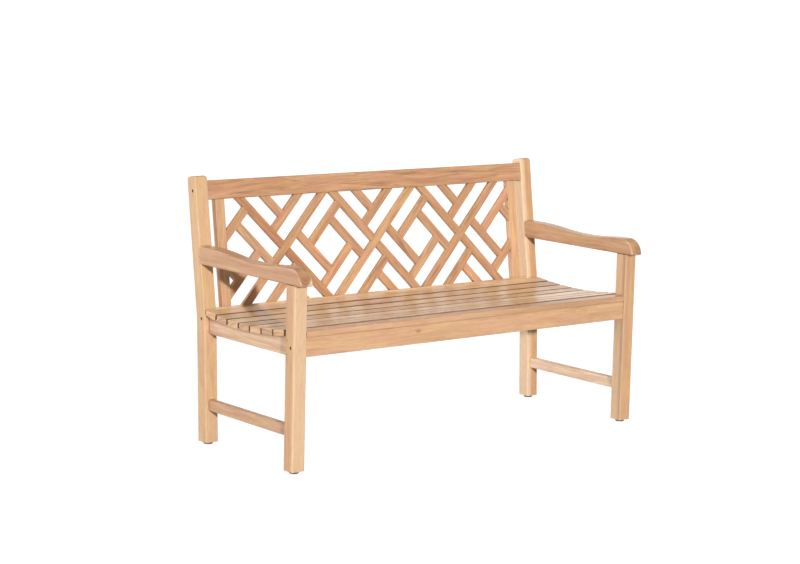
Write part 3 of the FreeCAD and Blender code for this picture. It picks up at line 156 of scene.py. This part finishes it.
def teak(
        name, along, facing, centre, tone, figure, heart, seed, sap=None, end=0.75, edges=0, gap_shade=0.5,
        roughness=0.42, mark=None,
):
    """Solid teak whose rings, streaks and pores run along the board, with end grain on its ends.

    figure is the strength of the dark streaks, heart the tree's heart across the board in millimetres, and
    sap, where given, the direction of the pale sapwood side, its distance from the board's middle and how
    pale it is. end is how much darker the end grain is, edges how dark the painted shade on the board's long
    edges is, gap_shade how dark the painted shade in its gaps and joints is, and roughness that of the wood
    between the pores. mark, where given, is a knot or a dark stripe: its place, half length, half width and
    strength.
    """
    early, late, dark = (linear(code) for code in TONES[tone])
    material = bpy.data.materials.new(name)
    material.use_nodes = True
    tree = material.node_tree
    shader = tree.nodes["Principled BSDF"]
    turn = grain_turn(along, facing)
    origin = centre - along.normalized() * (PATTERN_SPACING * seed)
    place = add_node(tree, "ShaderNodeTexCoord")
    board = add_node(
        tree, "ShaderNodeMapping", {"Vector": place.outputs["Object"], "Location": origin, "Rotation": turn},
        vector_type="TEXTURE",
    )

    # The grain sways a little along the board.
    sway_at = add_node(
        tree, "ShaderNodeMapping",
        {"Vector": board.outputs[0], "Scale": (1 / DRIFT_LENGTH, 1 / DRIFT_WIDTH, 1 / DRIFT_WIDTH)},
    )
    sway = add_node(tree, "ShaderNodeTexNoise", {"Vector": sway_at.outputs[0], "Scale": 1, "Detail": 1})
    sideways = add_node(
        tree, "ShaderNodeVectorMath",
        {0: sway.outputs["Color"], 1: (0, 2 * DRIFT_SWAY, 2 * DRIFT_SWAY), 2: (0, -DRIFT_SWAY, -DRIFT_SWAY)},
        operation="MULTIPLY_ADD",
    )
    grain = add_node(
        tree, "ShaderNodeVectorMath", {0: board.outputs[0], 1: sideways.outputs[0]}, operation="ADD"
    )

    # Growth rings about the tree's heart
    from_heart = add_node(
        tree, "ShaderNodeVectorMath",
        {0: grain.outputs[0], 1: (0, 1, 1), 2: (0, -mm(heart[0]), -mm(heart[1]))}, operation="MULTIPLY_ADD",
    )
    radius = add_node(tree, "ShaderNodeVectorMath", {0: from_heart.outputs[0]}, operation="LENGTH")
    uneven_at = add_node(
        tree, "ShaderNodeMath", {0: radius.outputs["Value"], 1: 1 / RING_VARIATION}, operation="MULTIPLY"
    )
    uneven = add_node(
        tree, "ShaderNodeTexNoise", {"W": uneven_at.outputs[0], "Scale": 1, "Detail": 1},
        noise_dimensions="1D",
    )
    count = add_node(
        tree, "ShaderNodeMath", {0: radius.outputs["Value"], 1: 1 / RING_WIDTH, 2: uneven.outputs[0]},
        operation="MULTIPLY_ADD",
    )
    within = add_node(tree, "ShaderNodeMath", {0: count.outputs[0]}, operation="FRACT")
    ring = add_node(tree, "ShaderNodeValToRGB", {"Fac": within.outputs[0]}, stops=RING_STOPS)

    # Broad streaks of lighter and darker wood, and the sparse dark figure
    streak_at = add_node(
        tree, "ShaderNodeMapping",
        {"Vector": grain.outputs[0], "Scale": (1 / STREAK_LENGTH, 1 / STREAK_WIDTH, 1 / STREAK_WIDTH)},
    )
    streak = add_node(
        tree, "ShaderNodeTexNoise",
        {"Vector": streak_at.outputs[0], "Scale": 1, "Detail": 3, "Roughness": 0.55, "Distortion": 0.3},
    )
    wood = add_node(
        tree, "ShaderNodeValToRGB", {"Fac": streak.outputs[0]}, stops=zip(STREAK_LIMITS, (early, late))
    )
    patch_at = add_node(
        tree, "ShaderNodeMapping",
        {"Vector": grain.outputs[0], "Scale": (1 / PATCH_LENGTH, 1 / PATCH_WIDTH, 1 / PATCH_WIDTH)},
    )
    patch = add_node(
        tree, "ShaderNodeTexNoise",
        {"Vector": patch_at.outputs[0], "Scale": 1, "Detail": 2, "Distortion": 0.5},
    )
    tint = add_node(
        tree, "ShaderNodeValToRGB", {"Fac": patch.outputs[0]},
        stops=zip(PATCH_LIMITS, (linear(YELLOW_TINT), linear(PINK_TINT))),
    )
    tinted = add_node(
        tree, "ShaderNodeMix", {0: TINT_STRENGTH, 6: wood.outputs[0], 7: tint.outputs[0]},
        data_type="RGBA", blend_type="MULTIPLY",
    )
    figure_at = add_node(
        tree, "ShaderNodeMapping",
        {"Vector": grain.outputs[0], "Scale": (1 / FIGURE_LENGTH, 1 / FIGURE_WIDTH, 1 / FIGURE_WIDTH)},
    )
    marks = add_node(
        tree, "ShaderNodeTexNoise",
        {"Vector": figure_at.outputs[0], "Scale": 1, "Detail": 3, "Roughness": 0.55, "Distortion": 0.7},
    )
    marked = add_node(
        tree, "ShaderNodeMapRange",
        {"Value": marks.outputs[0], "From Min": FIGURE_LIMITS[0], "From Max": FIGURE_LIMITS[1], "To Min": 0,
         "To Max": figure},
    )
    figured = add_node(
        tree, "ShaderNodeMix", {0: marked.outputs[0], 6: tinted.outputs[2], 7: dark}, data_type="RGBA"
    )
    ringed_by = add_node(
        tree, "ShaderNodeMath", {0: ring.outputs[0], 1: RING_STRENGTH}, operation="MULTIPLY"
    )
    ringed = add_node(
        tree, "ShaderNodeMix", {0: ringed_by.outputs[0], 6: figured.outputs[2], 7: late}, data_type="RGBA"
    )

    # End grain is darker, because its open pores swallow light. Its rings are too fine to show, so bands of
    # rings are drawn.
    lengthwise = add_node(
        tree, "ShaderNodeVectorMath", {0: place.outputs["Normal"], 1: along.normalized()},
        operation="DOT_PRODUCT",
    )
    ended = add_node(tree, "ShaderNodeMath", {0: lengthwise.outputs["Value"]}, operation="ABSOLUTE")
    end_by = add_node(
        tree, "ShaderNodeMapRange",
        {"Value": ended.outputs[0], "From Min": END_LIMITS[0], "From Max": END_LIMITS[1], "To Min": 0,
         "To Max": end},
    )
    band = add_node(
        tree, "ShaderNodeMapRange",
        {"Value": uneven.outputs[0], "From Min": BAND_LIMITS[0], "From Max": BAND_LIMITS[1],
         "To Min": BAND_STRENGTHS[0], "To Max": BAND_STRENGTHS[1]},
    )
    end_wood = add_node(tree, "ShaderNodeMix", {0: band.outputs[0], 6: late, 7: dark}, data_type="RGBA")
    ended_wood = add_node(
        tree, "ShaderNodeMix", {0: end_by.outputs[0], 6: ringed.outputs[2], 7: end_wood.outputs[2]},
        data_type="RGBA",
    )
    colour = ended_wood.outputs[2]

    # Pale sapwood along one side
    if sap:
        side, start, paleness = sap
        depth = add_node(
            tree, "ShaderNodeVectorMath", {0: place.outputs["Object"], 1: side}, operation="DOT_PRODUCT"
        )
        edge = side.dot(centre) + mm(start)
        wander = add_node(
            tree, "ShaderNodeMath", {0: streak.outputs[0], 1: SAPWOOD_EDGE, 2: depth.outputs["Value"]},
            operation="MULTIPLY_ADD",
        )
        pale = add_node(
            tree, "ShaderNodeMapRange",
            {"Value": wander.outputs[0], "From Min": edge, "From Max": edge + SAPWOOD_EDGE, "To Min": 0,
             "To Max": paleness},
        )
        sapwood = add_node(
            tree, "ShaderNodeMix", {0: pale.outputs[0], 6: colour, 7: linear(SAPWOOD)}, data_type="RGBA"
        )
        colour = sapwood.outputs[2]

    # A knot or a dark stripe, drawn out along the grain
    if mark:
        spot, length, width, strength = mark
        mark_at = add_node(
            tree, "ShaderNodeMapping",
            {"Vector": place.outputs["Object"], "Location": spot, "Rotation": turn,
             "Scale": (mm(length), mm(width), mm(width))},
            vector_type="TEXTURE",
        )
        from_mark = add_node(tree, "ShaderNodeVectorMath", {0: mark_at.outputs[0]}, operation="LENGTH")
        stained_by = add_node(
            tree, "ShaderNodeMapRange",
            {"Value": from_mark.outputs["Value"], "From Min": MARK_CORE, "From Max": 1, "To Min": strength,
             "To Max": 0},
        )
        stained = add_node(
            tree, "ShaderNodeMix", {0: stained_by.outputs[0], 6: colour, 7: dark}, data_type="RGBA"
        )
        colour = stained.outputs[2]

    # Fine pores, drawn out along the grain
    pore_at = add_node(
        tree, "ShaderNodeMapping",
        {"Vector": grain.outputs[0], "Scale": (1 / PORE_LENGTH, 1 / PORE_WIDTH, 1 / PORE_WIDTH)},
    )
    pore = add_node(tree, "ShaderNodeTexNoise", {"Vector": pore_at.outputs[0], "Scale": 1, "Detail": 1})
    pored_by = add_node(
        tree, "ShaderNodeMapRange",
        {"Value": pore.outputs[0], "From Min": PORE_LIMITS[0], "From Max": PORE_LIMITS[1], "To Min": 0,
         "To Max": PORE_STRENGTH},
    )
    pored = add_node(tree, "ShaderNodeMix", {0: pored_by.outputs[0], 6: colour, 7: dark}, data_type="RGBA")

    # Painted shade: the wood is darkened in the narrow gaps and at the joints, where little light reaches.
    openness = add_node(tree, "ShaderNodeAmbientOcclusion", {"Distance": GAP_REACH}, samples=8)
    gap_shaded_by = add_node(
        tree, "ShaderNodeMapRange",
        {"Value": openness.outputs["AO"], "From Min": GAP_LIMITS[0], "From Max": GAP_LIMITS[1],
         "To Min": gap_shade, "To Max": 0},
    )
    gap_shaded = add_node(
        tree, "ShaderNodeMix", {0: gap_shaded_by.outputs[0], 6: pored.outputs[2], 7: linear(GAP_SHADE)},
        data_type="RGBA",
    )
    colour = gap_shaded.outputs[2]

    # Painted shade on the long edges: on the slats it stands for the shade in the gaps between them, and on
    # the top rail it darkens the top edge.
    if edges:
        across = facing.cross(along).normalized()
        sideways_on = add_node(
            tree, "ShaderNodeVectorMath", {0: place.outputs["Normal"], 1: across}, operation="DOT_PRODUCT"
        )
        sideways_by = add_node(
            tree, "ShaderNodeMath", {0: sideways_on.outputs["Value"]}, operation="ABSOLUTE"
        )
        edged_by = add_node(
            tree, "ShaderNodeMapRange",
            {"Value": sideways_by.outputs[0], "From Min": EDGE_LIMITS[0], "From Max": EDGE_LIMITS[1],
             "To Min": 0, "To Max": edges},
        )
        edged = add_node(
            tree, "ShaderNodeMix", {0: edged_by.outputs[0], 6: colour, 7: linear(EDGE_SHADE)},
            data_type="RGBA",
        )
        colour = edged.outputs[2]
    tree.links.new(colour, shader.inputs["Base Color"])

    # Sanded surface: dry, with the pores a little sunk and duller, and the late wood a little raised
    polish = add_node(
        tree, "ShaderNodeMapRange",
        {"Value": pore.outputs[0], "From Min": PORE_POLISH_LIMITS[0], "From Max": PORE_POLISH_LIMITS[1],
         "To Min": roughness, "To Max": roughness + PORE_DULLNESS},
    )
    tree.links.new(polish.outputs[0], shader.inputs["Roughness"])
    relief = add_node(
        tree, "ShaderNodeMath", {0: pore.outputs[0], 1: PORE_RELIEF, 2: within.outputs[0]},
        operation="MULTIPLY_ADD",
    )
    bump = add_node(
        tree, "ShaderNodeBump",
        {"Height": relief.outputs[0], "Strength": RELIEF_STRENGTH, "Distance": RELIEF_HEIGHT},
    )
    tree.links.new(bump.outputs[0], shader.inputs["Normal"])
    shader.inputs["IOR"].default_value = TEAK_IOR
    return material


def dress(node, material):
    """Puts a material on every slot of a CAD node."""
    for slot in nodes[node].material_slots:
        slot.material = material


def middle(node):
    """The middle of a node's box."""
    low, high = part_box(node)
    return (low + high) / 2


# Marks: place in metres, half length along the grain and half width in millimetres, and strength
FRONT_RAIL_KNOT = (Vector((-0.240, -0.295, 0.421)), 16, 8, 0.85)
FRONT_SLAT_STRIPE = (Vector((0.45, -0.285, 0.452)), 380, 90, 0.5)
RIGHT_LEG_STRIPE = (Vector((0.700, -0.295, 0.33)), 3000, 14, 0.5)
# One line for each board of the frame: grain direction, face, tone, dark figure, heart across it in
# millimetres, and what else sets it apart, such as how dark the painted shade is at its joints and on its
# long edges.
BOARDS = {
    "rear_post_left": (UP_THE_BACK, -FRONT_TO_BACK, "wheat", 0.25, (70, 90), {"gap_shade": 0.8}),
    "rear_post_right": (
        UP_THE_BACK, -FRONT_TO_BACK, "amber", 0.4, (-60, 80), {"sap": (-ALONG_BENCH, 8, 0.65)},
    ),
    "front_leg_left": (UPRIGHT, -FRONT_TO_BACK, "amber", 0.2, (80, 60), {"sap": (-FRONT_TO_BACK, 17, 0.4)}),
    "front_leg_right": (
        UPRIGHT, -FRONT_TO_BACK, "amber", 0.15, (-50, 80),
        {"sap": (-ALONG_BENCH, 17, 0.4), "mark": RIGHT_LEG_STRIPE},
    ),
    "arm_left": (
        FRONT_TO_BACK, UPRIGHT, "tan", 0.3, (8, -6),
        {"sap": (Vector((0.75, 0, -0.66)), 20, 0.8), "roughness": 0.28},
    ),
    "arm_right": (FRONT_TO_BACK, UPRIGHT, "buff", 0.5, (-14, -8), {"roughness": 0.28}),
    "side_stretcher_left": (FRONT_TO_BACK, UPRIGHT, "buff", 0.3, (60, 50), {}),
    "side_stretcher_right": (FRONT_TO_BACK, UPRIGHT, "cream", 0.3, (-70, 40), {}),
    "side_seat_rail_left": (FRONT_TO_BACK, ALONG_BENCH, "sand", 0.2, (30, 80), {"gap_shade": 0.9}),
    "side_seat_rail_right": (FRONT_TO_BACK, ALONG_BENCH, "blush", 0.25, (30, 70), {"gap_shade": 0.8}),
    "centre_seat_bearer": (FRONT_TO_BACK, ALONG_BENCH, "rose", 0.3, (40, 60), {}),
    "front_seat_rail": (
        ALONG_BENCH, -FRONT_TO_BACK, "honey", 0.35, (10, -60),
        {"gap_shade": 0.2, "mark": FRONT_RAIL_KNOT},
    ),
    "front_seat_slat": (
        ALONG_BENCH, UPRIGHT, "honey", 0.3, (20, -70),
        {"gap_shade": 0.2, "roughness": 0.28, "mark": FRONT_SLAT_STRIPE},
    ),
    "top_back_rail": (
        ALONG_BENCH, OUT_OF_THE_BACK, "tan", 0.8, (6, -40),
        {"edges": 0.4, "roughness": 0.7},
    ),
    "lower_back_rail": (ALONG_BENCH, OUT_OF_THE_BACK, "blush", 0.5, (-8, -55), {}),
    "back_stile_left": (UP_THE_BACK, OUT_OF_THE_BACK, "buff", 0.3, (50, 70), {}),
    "back_stile_right": (UP_THE_BACK, OUT_OF_THE_BACK, "honey", 0.3, (-60, 70), {}),
}

rng = random.Random(7)
# Seeds set each board's pattern apart: the frame's start at 1.
PEG_SEED = 30
FIRST_SLAT_SEED = 40
FIRST_BAR_SEED = 60
# How dark the painted shade on each slat's long edges is and how rough its face, front to back. Hearts give
# the lowest and the highest place of the tree's heart across a board, in millimetres.
SLAT_SHADE_AND_ROUGHNESS = (
    (0.75, 0.27), (0.65, 0.27), (0.65, 0.27), (0.75, 0.28), (0.85, 0.29), (0.9, 0.3), (0.9, 0.3),
)
SLAT_TONES = ("shell", "blush", "shell", "straw")
SLAT_FIGURE = 0.55
SLAT_HEARTS = ((-30, 30), (-80, -40))
SLAT_END = 0.65
# How dark the painted shade in the slats' gaps and joints is
SLAT_GAP_SHADE = 0.9
# Most bars are tan. Two stand out from the rest of the lattice.
BAR_TONES = ("tan", "tan", "buff", "tan", "tan", "rose")
BAR_FIGURES = (0.5, 0.95)
BAR_HEARTS = ((-40, 40), (25, 80))
ODD_BARS = {"lattice_long_falling_left": "brown", "lattice_long_rising_centre": "amber"}


def dress_frame():
    """Teak for the frame's boards."""
    for seed, (node, (along, facing, tone, figure, heart, more)) in enumerate(BOARDS.items(), start=1):
        material = teak(
            f"sanded_teak_{node}", along, facing, middle(node), tone, figure, heart, seed, **more
        )
        dress(node, material)


def dress_slats():
    """Teak for the seat slats, a little pinker and greyer than the frame."""
    slats = sorted(node for node in nodes if node.startswith("seat_slat_"))
    for seed, (node, (edges, roughness)) in enumerate(zip(slats, SLAT_SHADE_AND_ROUGHNESS), start=FIRST_SLAT_SEED):
        heart = (rng.uniform(*SLAT_HEARTS[0]), rng.uniform(*SLAT_HEARTS[1]))
        tone = SLAT_TONES[seed % len(SLAT_TONES)]
        material = teak(
            f"sanded_teak_{node}", ALONG_BENCH, UPRIGHT, middle(node), tone, SLAT_FIGURE, heart, seed,
            end=SLAT_END, edges=edges, gap_shade=SLAT_GAP_SHADE, roughness=roughness,
        )
        dress(node, material)


def dress_lattice():
    """Teak for the lattice bars, of mixed tones."""
    rising_ends = ("upper_left", "lower_right", "long_braces")
    bars = sorted(node for node in nodes if node.startswith("lattice_"))
    for seed, node in enumerate(bars, start=FIRST_BAR_SEED):
        along = RISING if "rising" in node or node.endswith(rising_ends) else FALLING
        tone = rng.choice(BAR_TONES)
        heart = (rng.uniform(*BAR_HEARTS[0]), rng.choice((-1, 1)) * rng.uniform(*BAR_HEARTS[1]))
        figure = rng.uniform(*BAR_FIGURES)
        tone = ODD_BARS.get(node, tone)
        material = teak(
            f"sanded_teak_{node}", along, OUT_OF_THE_BACK, middle(node), tone, figure, heart, seed
        )
        dress(node, material)


# Zinc-plated steel: dull metal, slightly mottled. The crystals of the plating are finer, and drawn at 1.5 mm
# so that they show.
ZINC_DARK = "#8F8C86"
ZINC_PALE = "#B7B3AB"
ZINC_LIMITS = (0.3, 0.7)
ZINC_CRYSTAL = mm(1.5)
ZINC_ROUGHNESS = (0.32, 0.5)
# Moulded nylon: dark and satin, with a fine texture from the mould and paler scuffs
NYLON = "#3A2E25"
NYLON_SCUFFED = "#5A4A3C"
NYLON_LIMITS = (0.4, 0.75)
NYLON_ROUGHNESS = 0.45
NYLON_RELIEF = 0.2
MOULD_TEXTURE = mm(0.8)
MOULD_DEPTH = mm(0.2)
SCUFF_WIDTH = mm(9)


def plated_steel():
    """Zinc-plated steel for bolts, nuts and screws."""
    material = bpy.data.materials.new("zinc_plated_steel")
    material.use_nodes = True
    tree = material.node_tree
    shader = tree.nodes["Principled BSDF"]
    place = add_node(tree, "ShaderNodeTexCoord")
    spangle = add_node(
        tree, "ShaderNodeTexNoise",
        {"Vector": place.outputs["Object"], "Scale": 1 / ZINC_CRYSTAL, "Detail": 2},
    )
    tint = add_node(
        tree, "ShaderNodeValToRGB", {"Fac": spangle.outputs[0]},
        stops=zip(ZINC_LIMITS, (linear(ZINC_DARK), linear(ZINC_PALE))),
    )
    tree.links.new(tint.outputs[0], shader.inputs["Base Color"])
    dullness = add_node(
        tree, "ShaderNodeMapRange",
        {"Value": spangle.outputs[0], "To Min": ZINC_ROUGHNESS[0], "To Max": ZINC_ROUGHNESS[1]},
    )
    tree.links.new(dullness.outputs[0], shader.inputs["Roughness"])
    shader.inputs["Metallic"].default_value = 1.0
    return material


def moulded_nylon():
    """Moulded nylon for the glides."""
    material = bpy.data.materials.new("moulded_nylon")
    material.use_nodes = True
    tree = material.node_tree
    shader = tree.nodes["Principled BSDF"]
    place = add_node(tree, "ShaderNodeTexCoord")
    texture = add_node(
        tree, "ShaderNodeTexNoise",
        {"Vector": place.outputs["Object"], "Scale": 1 / MOULD_TEXTURE, "Detail": 2},
    )
    scuff = add_node(
        tree, "ShaderNodeTexNoise",
        {"Vector": place.outputs["Object"], "Scale": 1 / SCUFF_WIDTH, "Detail": 3},
    )
    tint = add_node(
        tree, "ShaderNodeValToRGB", {"Fac": scuff.outputs[0]},
        stops=zip(NYLON_LIMITS, (linear(NYLON), linear(NYLON_SCUFFED))),
    )
    tree.links.new(tint.outputs[0], shader.inputs["Base Color"])
    bump = add_node(
        tree, "ShaderNodeBump",
        {"Height": texture.outputs[0], "Strength": NYLON_RELIEF, "Distance": MOULD_DEPTH},
    )
    tree.links.new(bump.outputs[0], shader.inputs["Normal"])
    shader.inputs["Roughness"].default_value = NYLON_ROUGHNESS
    return material


def dress_fittings():
    """Metal fittings, wooden pegs and glides."""
    steel = plated_steel()
    for node in ("frame_bolts", "barrel_nuts", "slat_screws"):
        dress(node, steel)
    dress("foot_glides", moulded_nylon())
    pegs = teak(
        "turned_teak_pegs", ALONG_BENCH, UPRIGHT, middle("joint_pegs"), "brown", 0.3, (3, 4), PEG_SEED
    )
    dress("joint_pegs", pegs)


# The studio: a surround that is dark in front and has a low bright wall beyond the bench, a low key light
# from the front, and soft lights from above and from the left. The wood's sheen takes only a share of the
# wall's light, and the picture's background is plain white.
SURROUND_NEAR = 0.05
SURROUND_FAR = 4.5
FAR_SIDE = Vector((0.2, 0.98, 0.0))
WALL_FULL = 0.4
WALL_TOP = 0.2
WALL_FADE = 0.25
SHEEN_SHARE = 0.42
BACKGROUND = 1.0
# Each light: strength, the way it shines and how wide it is
LIGHTS = {
    "key_light": (3.05, Vector((0.312, 0.943, -0.25)), math.radians(2.2)),
    "top_light": (0.74, Vector((0, 0.2, -0.95)), math.radians(40)),
    "low_side_light": (0.77, Vector((0.97, 0.14, -0.1)), math.radians(16)),
    "high_side_light": (0.5, Vector((0.84, -0.15, -0.5)), math.radians(60)),
}
# The floor's paint is grey and its glow makes it white, so that shadows hardly show on it.
FLOOR_SIZE = 600
FLOOR_PAINT = "#6A6A6A"
FLOOR_ROUGHNESS = 0.9
FLOOR_SPECULAR = 0.1
FLOOR_GLOW = 0.95
# The floor behind the bench throws light back on it, and the floor in front of it doesn't.
FLOOR_BOUNCE = 0.8
BOUNCE_START = 0.4
BOUNCE_FULL = 1.4


def shine(name, strength, travel, width):
    """A distant light that shines along travel."""
    light = bpy.data.lights.new(name, "SUN")
    light.energy = strength
    light.angle = width
    lamp = bpy.data.objects.new(name, light)
    bpy.context.scene.collection.objects.link(lamp)
    lamp.rotation_euler = travel.to_track_quat("-Z", "Y").to_euler()


def build_stage():
    """A white floor and surround, and the lights."""
    bpy.ops.mesh.primitive_plane_add(size=FLOOR_SIZE)
    floor = bpy.context.object
    floor.name = "studio_floor"
    paint = bpy.data.materials.new("white_studio_paint")
    paint.use_nodes = True
    tree = paint.node_tree
    shader = tree.nodes["Principled BSDF"]
    shader.inputs["Base Color"].default_value = linear(FLOOR_PAINT)
    shader.inputs["Roughness"].default_value = FLOOR_ROUGHNESS
    shader.inputs["Specular IOR Level"].default_value = FLOOR_SPECULAR
    shader.inputs["Emission Color"].default_value = grey(1)
    place = add_node(tree, "ShaderNodeTexCoord")
    spot = add_node(tree, "ShaderNodeSeparateXYZ", {0: place.outputs["Object"]})
    bounce = add_node(
        tree, "ShaderNodeMapRange",
        {"Value": spot.outputs["Y"], "From Min": BOUNCE_START, "From Max": BOUNCE_FULL,
         "To Max": FLOOR_BOUNCE},
    )
    path = add_node(tree, "ShaderNodeLightPath")
    glow = add_node(
        tree, "ShaderNodeMapRange",
        {"Value": path.outputs["Is Diffuse Ray"], "To Min": FLOOR_GLOW, "To Max": bounce.outputs[0]},
    )
    tree.links.new(glow.outputs[0], shader.inputs["Emission Strength"])
    floor.data.materials.append(paint)

    world = bpy.context.scene.world or bpy.data.worlds.new("studio")
    bpy.context.scene.world = world
    world.use_nodes = True
    tree = world.node_tree
    surround = tree.nodes["Background"]
    surround.inputs["Color"].default_value = grey(1)
    around = add_node(tree, "ShaderNodeTexCoord")
    beyond = add_node(
        tree, "ShaderNodeVectorMath", {0: around.outputs["Generated"], 1: FAR_SIDE},
        operation="DOT_PRODUCT",
    )
    wall = add_node(
        tree, "ShaderNodeMapRange",
        {"Value": beyond.outputs["Value"], "From Min": 0, "From Max": WALL_FULL, "To Min": SURROUND_NEAR,
         "To Max": SURROUND_FAR},
    )
    heading = add_node(tree, "ShaderNodeSeparateXYZ", {0: around.outputs["Generated"]})
    brightness = add_node(
        tree, "ShaderNodeMapRange",
        {"Value": heading.outputs["Z"], "From Min": WALL_TOP, "From Max": WALL_TOP + WALL_FADE,
         "To Min": wall.outputs[0], "To Max": SURROUND_NEAR},
    )
    path = add_node(tree, "ShaderNodeLightPath")
    share = add_node(
        tree, "ShaderNodeMapRange",
        {"Value": path.outputs["Is Glossy Ray"], "To Min": 1, "To Max": SHEEN_SHARE},
    )
    thrown = add_node(
        tree, "ShaderNodeMath", {0: brightness.outputs[0], 1: share.outputs[0]}, operation="MULTIPLY"
    )
    seen = add_node(
        tree, "ShaderNodeMapRange",
        {"Value": path.outputs["Is Camera Ray"], "To Min": thrown.outputs[0], "To Max": BACKGROUND},
    )
    tree.links.new(seen.outputs[0], surround.inputs["Strength"])
    for name, (strength, travel, width) in LIGHTS.items():
        shine(name, strength, travel, width)


# The camera that took the picture: its place, aim and lens, for an image 800 wide
CAMERA_PLACE = Vector((-4.6508, -5.7134, 1.6647))
CAMERA_YAW = math.radians(38.611)
CAMERA_PITCH = math.radians(8.795)
CAMERA_ROLL = math.radians(-1.391)
FOCAL_PIXELS = 2143.6
IMAGE_WIDTH = 800
SENSOR_WIDTH = 36
FAR_CLIP = 200


def build_camera():
    """A camera at the picture's viewing angle."""
    level = math.cos(CAMERA_PITCH)
    aim = Vector((math.sin(CAMERA_YAW) * level, math.cos(CAMERA_YAW) * level, -math.sin(CAMERA_PITCH)))
    right = Vector((math.cos(CAMERA_YAW), -math.sin(CAMERA_YAW), 0))
    down = aim.cross(right)
    rolled_right = right * math.cos(CAMERA_ROLL) + down * math.sin(CAMERA_ROLL)
    rolled_down = down * math.cos(CAMERA_ROLL) - right * math.sin(CAMERA_ROLL)
    data = bpy.data.cameras.new("camera")
    data.sensor_fit = "HORIZONTAL"
    data.sensor_width = SENSOR_WIDTH
    data.lens = FOCAL_PIXELS * SENSOR_WIDTH / IMAGE_WIDTH
    data.clip_end = FAR_CLIP
    camera = bpy.data.objects.new("camera", data)
    bpy.context.scene.collection.objects.link(camera)
    turn = Matrix((rolled_right, -rolled_down, -aim)).transposed().to_4x4()
    camera.matrix_world = Matrix.Translation(CAMERA_PLACE) @ turn
    bpy.context.scene.camera = camera
    bpy.context.scene.view_settings.view_transform = "Standard"


dress_frame()
dress_slats()
dress_lattice()
dress_fittings()
build_stage()
build_camera()
